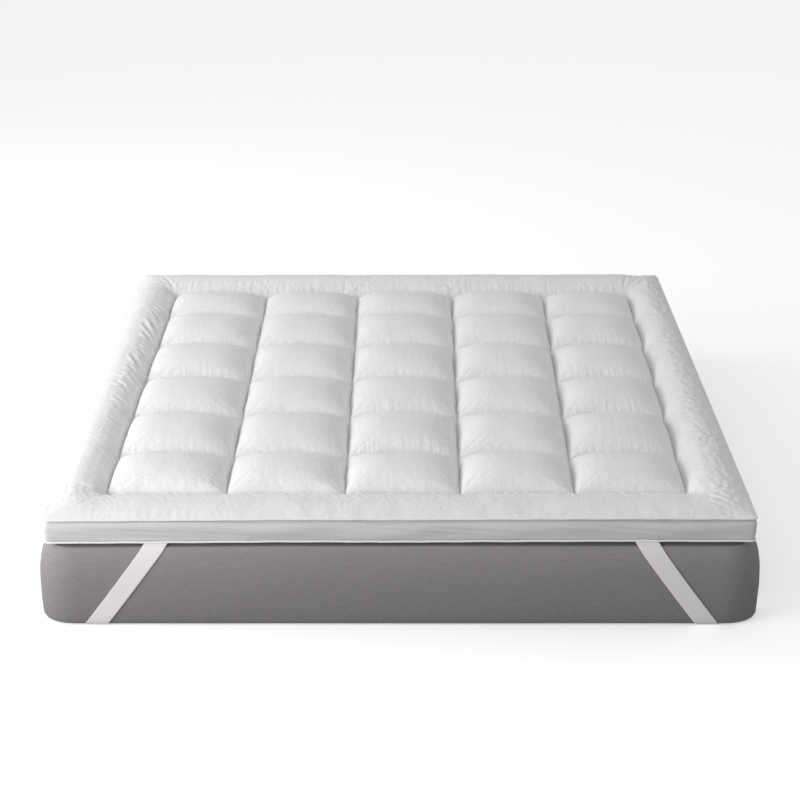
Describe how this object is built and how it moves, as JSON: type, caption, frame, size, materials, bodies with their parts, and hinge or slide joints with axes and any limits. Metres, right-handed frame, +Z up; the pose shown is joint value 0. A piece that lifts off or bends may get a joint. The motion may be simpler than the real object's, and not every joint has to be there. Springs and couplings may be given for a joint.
{
  "type": "mattress topper strapped over a mattress",
  "caption": "Puffy white mattress topper with box quilting, a wide border and a piped side band, held over a plain grey mattress by elastic corner straps.",
  "frame": {"origin": "middle of the mattress's flat underside, on the floor", "axes": "+Z up; +Y from the foot end to the head end, along the length; +X to the right as seen from the foot end"},
  "size_m": [1.834, 2.034, 0.3267],
  "materials": {
    "cover_cloth": "soft brushed white cotton",
    "band_cloth": "smooth off-white satin-weave cotton",
    "piping_cloth": "white cotton over a cord",
    "elastic": "ribbed off-white woven elastic",
    "mattress_knit": "matt dark grey knitted ticking"
  },
  "bodies": {
    "root": {"topper_pad": "cover_cloth", "gusset": "band_cloth", "piping_top": "piping_cloth", "piping_bottom": "piping_cloth", "strap_front_left": "elastic", "strap_front_right": "elastic", "strap_back_left": "elastic", "strap_back_right": "elastic", "mattress": "mattress_knit"}
  },
  "joints": []
}
